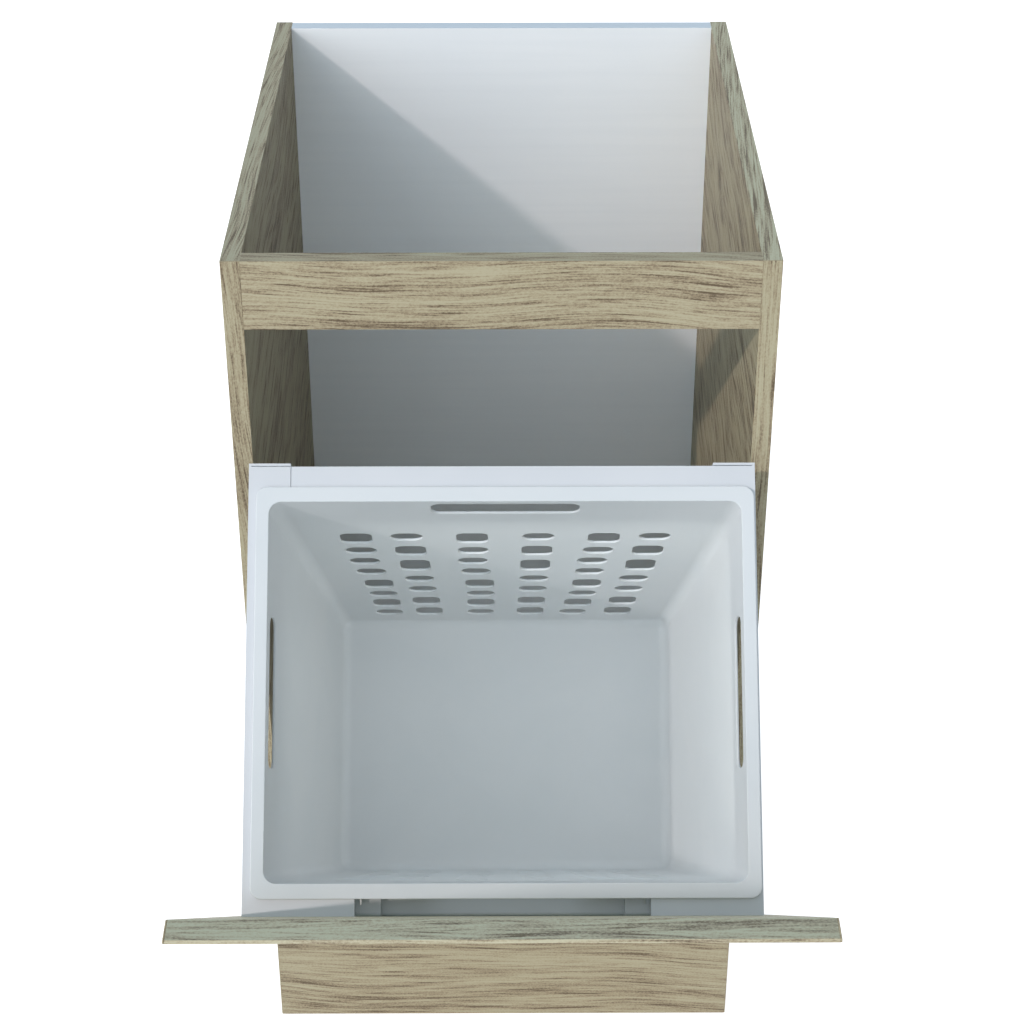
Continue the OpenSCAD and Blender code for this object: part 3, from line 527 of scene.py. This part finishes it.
def basket_mesh():
    """The vented basket with its rim, handle slots and holes, as one closed mesh."""
    b = BASKET
    wide, long, r = b["rim"]
    rim, pocket = bmesh.new(), bmesh.new()
    add_bar(rim, [(b["shift"] + x, b["middle"] + y, b["rim_low"]) for x, y in rounded(wide, long, r)],
            (0, 0, b["top"] - b["rim_low"]))
    inset = 2 * b["rim_wall"]
    outline = rounded(wide - inset, long - inset, r - b["rim_wall"])
    add_bar(pocket, [(b["shift"] + x, b["middle"] + y, b["rim_low"] - POCKET_OVERLAP) for x, y in outline],
            (0, 0, b["top"] - b["rim_wall"] - b["rim_low"] + POCKET_OVERLAP))
    holes = bmesh.new()
    for k, (top_x, low_x) in enumerate(COLUMNS):
        heights, bridges, strays = (SEVEN if k % 2 else EIGHT)
        last = len(heights) - 1
        tall = [h * (1 - SHRINK * i / last) for i, h in enumerate(heights)]
        middles = [FIRST_HOLE + sum(tall[:i]) + sum(bridges[:i]) + tall[i] / 2 for i in range(last + 1)]
        for i, depth in enumerate(middles):
            share = (depth - middles[0]) / (middles[-1] - middles[0])
            x = b["shift"] + top_x + (low_x - top_x) * share + strays[i]
            corner = (tall[i] - HOLE_FLAT) / 2 if heights[i] == LOW else HOLE_CORNER
            outline = rounded(HOLE_WIDTH * tall[i] / heights[i], tall[i], corner, HOLE_STEPS)
            add_bar(holes, [(x + u, CUT_START, b["top"] - depth + v) for u, v in outline], (0, CUT_LENGTH, 0))
    slot = rounded(*SLOT)
    add_bar(holes, [(b["shift"] + u, CUT_START, b["top"] - SLOT_DEPTH + v) for u, v in slot], (0, CUT_LENGTH, 0))
    add_bar(holes, [(SIDE_CUT_START, b["middle"] + u, b["top"] - SIDE_SLOT_DEPTH + v) for u, v in slot],
            (SIDE_CUT_LENGTH, 0, 0))
    # the body ends inside the rim, and the hollow goes through its top
    piece = as_piece(basket_form(b["wall"], b["top"] - OVERLAP), "basket_body")
    rim = as_piece(rim, "rim")
    carve(rim, "DIFFERENCE", as_piece(pocket, "pocket"))
    carve(piece, "UNION", rim)
    carve(piece, "DIFFERENCE", as_piece(basket_form(0.0, b["top"] + OVERLAP), "hollow"))
    carve(piece, "DIFFERENCE", as_piece(holes, "holes"))
    mesh = piece.data
    form = bmesh.new()
    form.from_mesh(mesh)
    bmesh.ops.remove_doubles(form, verts=form.verts, dist=MERGE_NEAR)
    form.transform(Matrix.Translation(HINGE) @ Matrix.Rotation(TILT, 4, "X") @ Matrix.Scale(MILLIMETRE, 4))
    form.to_mesh(mesh)
    form.free()
    bpy.data.objects.remove(piece)
    return mesh


def dress(piece, material):
    """Gives a piece its material."""
    piece.data.materials.clear()
    piece.data.materials.append(material)


# The finishes of this part, and the pieces that have them

OAK_SIDE_LEFT = oak("oak_side_left", "y", seed=0.37, contrast=1.2, inner=1, lean=-0.06, wander=0.030,
                    calm=("x", -1))
# the right panel's top edge has a lighter painted shade than the left one's
OAK_SIDE_RIGHT = oak("oak_side_right", "y", seed=4.71, contrast=1.2, inner=-1, lean=-0.06, wander=0.030,
                     calm=("x", 1), tone=(1.08, 1.09, 1.10), upper_painted_shade=(0.79, 0.89, 0.95))
OAK_SIDE_BAND = oak("oak_side_band", "z", seed=7.13, ends=("z", "y"), tone=(0.95, 0.94, 0.93))
OAK_RAIL = oak("oak_rail", "x", seed=2.28, contrast=0.95, tone=(0.985, 0.965, 0.955))
OAK_PLINTH = oak("oak_plinth", "x", seed=9.64, contrast=0.88, tone=(0.93, 0.92, 0.91))
OAK_PLINTH_BAND = oak("oak_plinth_band", "z", seed=11.5, contrast=0.8)
OAK_DOOR = oak("oak_door", "x", leaning=True, seed=5.52, wander=0.026, calm=("y", -1),
               tone=(1.08, 1.10, 1.12))
OAK_DOOR_BAND = oak("oak_door_band", "z", leaning=True, seed=6.35, contrast=0.8)
WHITE_BOARD = white_board("white_melamine")
# the back panel's top edge gets a darker, bluer painted shade
WHITE_BACK = white_board("white_back_melamine", (0.63, 0.72, 0.80))
WHITE_STEEL = powder_coat("white_powder_coat")
WHITE_PLASTIC = moulded_white("white_moulding")
ZINC = zinc("zinc_plating")
BLACK = black_plastic("black_moulding")
BEECH = beech("beech_dowel")
NYLON = nylon("natural_nylon")

# The rounding, the material and the slot of each piece with eased edges
EASED = {
    "side_panel_left": (0.0003, OAK_SIDE_LEFT, "oak_board"),
    "side_panel_right": (0.0003, OAK_SIDE_RIGHT, "oak_board"),
    "side_edge_bands": (0.0004, OAK_SIDE_BAND, "oak_band"),
    "bottom_panel": (0.0003, WHITE_BOARD, "white_board"),
    "back_panel": (0.0003, WHITE_BACK, "white_board"),
    "front_rail": (0.0008, OAK_RAIL, "oak_board"),
    "plinth_board": (0.0004, OAK_PLINTH, "oak_board"),
    "plinth_edge_bands": (0.0004, OAK_PLINTH_BAND, "oak_band"),
    "door_panel": (0.0012, OAK_DOOR, "oak_board"),
    "door_edge_bands": (0.0008, OAK_DOOR_BAND, "oak_band"),
    "carrier_frame_left": (0.0005, WHITE_STEEL, "white_steel"),
    "carrier_frame_right": (0.0005, WHITE_STEEL, "white_steel"),
    "carrier_cross_bar": (0.0004, WHITE_STEEL, "white_steel"),
    "laundry_basket": (0.0009, WHITE_PLASTIC, "white_plastic"),
    "stay_plate_left": (0.0003, ZINC, "zinc_steel"),
    "stay_plate_right": (0.0003, ZINC, "zinc_steel"),
    "leg_sockets": (0.0005, BLACK, "black_plastic"),
    "leg_tubes": (0.0005, BLACK, "black_plastic"),
    "plinth_clips": (0.0004, BLACK, "black_plastic"),
}
for node, (width, material, slot_name) in EASED.items():
    mesh = basket_mesh() if node == "laundry_basket" else None
    dress(eased(node, width, mesh=mesh), material)

# Small pieces: the solids themselves, which only get a finish
PLAIN = {
    "cabinet_screws": ZINC, "cabinet_dowels": BEECH, "leg_screws": ZINC, "clip_screws": ZINC,
    "hinge_leaves_cabinet": ZINC, "hinge_leaves_door": ZINC, "hinge_pins": ZINC,
    "hinge_screws_cabinet": ZINC, "hinge_screws_door": ZINC, "stop_pins": ZINC, "stay_screws": ZINC,
    "carrier_rivets": ZINC, "carrier_screws": ZINC, "stop_rollers": NYLON,
    "foot_front_left": BLACK, "foot_front_right": BLACK, "foot_back_left": BLACK, "foot_back_right": BLACK,
}
for node, material in PLAIN.items():
    dress(nodes[node], material)


# Studio: floor, surroundings, lamps and camera

# Half the floor's size, its grey, and the glow that makes it look white
FLOOR_HALF, FLOOR_GREY, FLOOR_GLOW = 12.0, 0.62, 0.86
# The floor lies this little below the feet
FLOOR_DROP = 0.0002


def studio_floor():
    """A pale floor that shows white and keeps a faint shadow."""
    form = bmesh.new()
    bmesh.ops.create_grid(form, x_segments=2, y_segments=2, size=FLOOR_HALF)
    mesh = bpy.data.meshes.new("floor")
    form.to_mesh(mesh)
    form.free()
    floor = bpy.data.objects.new("floor", mesh)
    bpy.context.scene.collection.objects.link(floor)
    floor.location.z = -FLOOR_DROP
    m = Finish("pale_floor")
    m.set(Base_Color=(FLOOR_GREY,) * 3, Roughness=0.9, Specular_IOR_Level=0.0)
    glow = m.tree.nodes.new("ShaderNodeEmission")
    glow.inputs["Color"].default_value = (1, 1, 1, 1)
    strength = m.direct_view() * FLOOR_GLOW
    m.tree.links.new(strength.socket, glow.inputs["Strength"])
    add = m.tree.nodes.new("ShaderNodeAddShader")
    m.tree.links.new(m.shader.outputs[0], add.inputs[0])
    m.tree.links.new(glow.outputs[0], add.inputs[1])
    m.tree.links.new(add.outputs[0], m.tree.nodes["Material Output"].inputs["Surface"])
    floor.data.materials.append(m.material)


def surroundings(above, level, right, front):
    """A soft sky for the object: the colour above overhead and level around it.

    It is dimmer at the right by the factor right, and brighter at the front by the factor front.
    Plain white shows behind the object.
    """
    world = bpy.data.worlds.new("studio")
    bpy.context.scene.world = world
    world.use_nodes = True
    m = Shading(world.node_tree)
    # the direction in which the sky is looked at
    x, y, z = m.split(m.node("ShaderNodeTexCoord", out="Generated"))
    colour = m.mix(z.step(0.0, 0.9), level, above)
    sky = m.tree.nodes["Background"]
    m.tree.links.new(colour.socket, sky.inputs["Color"])
    # the part of the sky in front of the object and above the horizon
    ahead = (-1.0 * y).step(0.45, 0.95) * z.step(-0.1, 0.2)
    strength = (1.0 - x.step(-0.1, 0.75) * (1.0 - right)) * (1.0 + ahead * (front - 1.0))
    m.tree.links.new(strength.socket, sky.inputs["Strength"])
    white = m.tree.nodes.new("ShaderNodeBackground")
    white.inputs["Color"].default_value = (1, 1, 1, 1)
    mix = m.tree.nodes.new("ShaderNodeMixShader")
    m.tree.links.new(m.direct_view().socket, mix.inputs[0])
    m.tree.links.new(sky.outputs[0], mix.inputs[1])
    m.tree.links.new(white.outputs[0], mix.inputs[2])
    m.tree.links.new(mix.outputs[0], m.tree.nodes["World Output"].inputs[0])


def link(lamp, pieces, lights_them):
    """Lets a lamp light only the given pieces, or all but them.

    A piece in any lamp's own group gets no light from a lamp that only leaves other pieces out.
    """
    group = bpy.data.collections.new(lamp.name + "_pieces")
    for piece in pieces:
        group.objects.link(piece)
    for entry in group.collection_objects:
        entry.light_linking.link_state = "INCLUDE" if lights_them else "EXCLUDE"
    lamp.light_linking.receiver_collection = group


def sun_lamp(name, direction, strength, colour, softness, pieces, lights_them=True, shadows=True):
    """A far lamp, its softness in degrees, which lights only the given pieces or all but them."""
    data = bpy.data.lights.new(name, "SUN")
    data.energy = strength
    data.use_shadow = shadows
    data.color = colour
    data.angle = math.radians(softness)
    lamp = bpy.data.objects.new(name, data)
    bpy.context.scene.collection.objects.link(lamp)
    lamp.rotation_euler = Vector(direction).to_track_quat("-Z", "Y").to_euler()
    link(lamp, pieces, lights_them)


def mouth_lamp(name, size, aside, depth, power, colour, piece):
    """A soft box in the basket, aside to the right and at a depth below the rim, which lights only the basket."""
    lean = Matrix.Rotation(TILT, 3, "X")
    points = [lean.inverted() @ (piece.matrix_world @ v.co - HINGE) for v in piece.data.vertices]
    low, high = ([pick(p[i] for p in points) for i in range(3)] for pick in (min, max))
    data = bpy.data.lights.new(name, "AREA")
    data.shape = "RECTANGLE"
    data.size, data.size_y = size
    data.energy = power
    data.color = colour
    lamp = bpy.data.objects.new(name, data)
    bpy.context.scene.collection.objects.link(lamp)
    lamp.location = HINGE + lean @ Vector(
        ((low[0] + high[0]) / 2 + aside, (low[1] + high[1]) / 2, high[2] - depth))
    lamp.rotation_euler = (TILT, 0, 0)
    lamp.visible_camera = lamp.visible_glossy = lamp.visible_transmission = False
    link(lamp, [piece], lights_them=True)


def camera(place, down, right, lens):
    """The camera, turned down and to the right by these degrees from a level view along Y."""
    data = bpy.data.cameras.new("camera")
    data.sensor_fit = "HORIZONTAL"
    data.sensor_width = 36.0
    data.lens = lens
    data.clip_end = 50.0
    made = bpy.data.objects.new("camera", data)
    bpy.context.scene.collection.objects.link(made)
    made.location = place
    made.rotation_euler = (math.radians(90 - down), 0, math.radians(-right))
    bpy.context.scene.camera = made


# The main light comes from the left, the front and above
KEY_DIRECTION, KEY_COLOUR = (1.0, 1.13, -0.866), (1.0, 0.878, 0.85)
KEY_STRENGTH, KEY_SOFTNESS = 1.44, 1.4

studio_floor()
surroundings(above=(0.58, 0.665, 0.735), level=(0.80, 0.89, 0.975), right=0.38, front=2.1)
basket, back, *front = (bpy.data.objects[name + "_eased"] for name in (
    "laundry_basket", "back_panel", "door_panel", "carrier_frame_left", "carrier_frame_right", "carrier_cross_bar"))
# The same main light for the boards, for the front with its frame, and a weaker one for the back panel
sun_lamp("key", KEY_DIRECTION, KEY_STRENGTH, KEY_COLOUR, KEY_SOFTNESS, [basket, back] + front, lights_them=False)
sun_lamp("key_front", KEY_DIRECTION, KEY_STRENGTH, KEY_COLOUR, KEY_SOFTNESS, front)
sun_lamp("key_back", KEY_DIRECTION, 0.76, KEY_COLOUR, 2.2, [back])
# A broad glow on the back panel, and weak light without shadows on the frame's flanges and the basket's left
sun_lamp("glow_back", (0.8, 1.0, -0.35), 0.98, (1.0, 1.0, 0.97), 50.0, [back])
sun_lamp("fill_flanges", (0.0, -0.66, -0.75), 0.42, (0.44, 0.77, 1.0), 20.0, front + [basket], shadows=False)
sun_lamp("fill_left", (-0.90, 0.28, 0.32), 0.25, (1.0, 1.0, 0.93), 20.0, [basket], shadows=False)
# The basket's own main light, and a soft box in its mouth
sun_lamp("key_inside", (1.0, 0.774, -0.604), 1.34, (1.0, 0.957, 0.943), 4.0, [basket])
mouth_lamp("mouth", size=(0.30, 0.24), aside=0.030, depth=0.045, power=0.085, colour=(0.99, 1.02, 0.97), piece=basket)
camera(place=(0.00188, -1.67155, 1.66313), down=31.819, right=0.225, lens=80.55)
bpy.context.scene.view_settings.view_transform = "Standard"
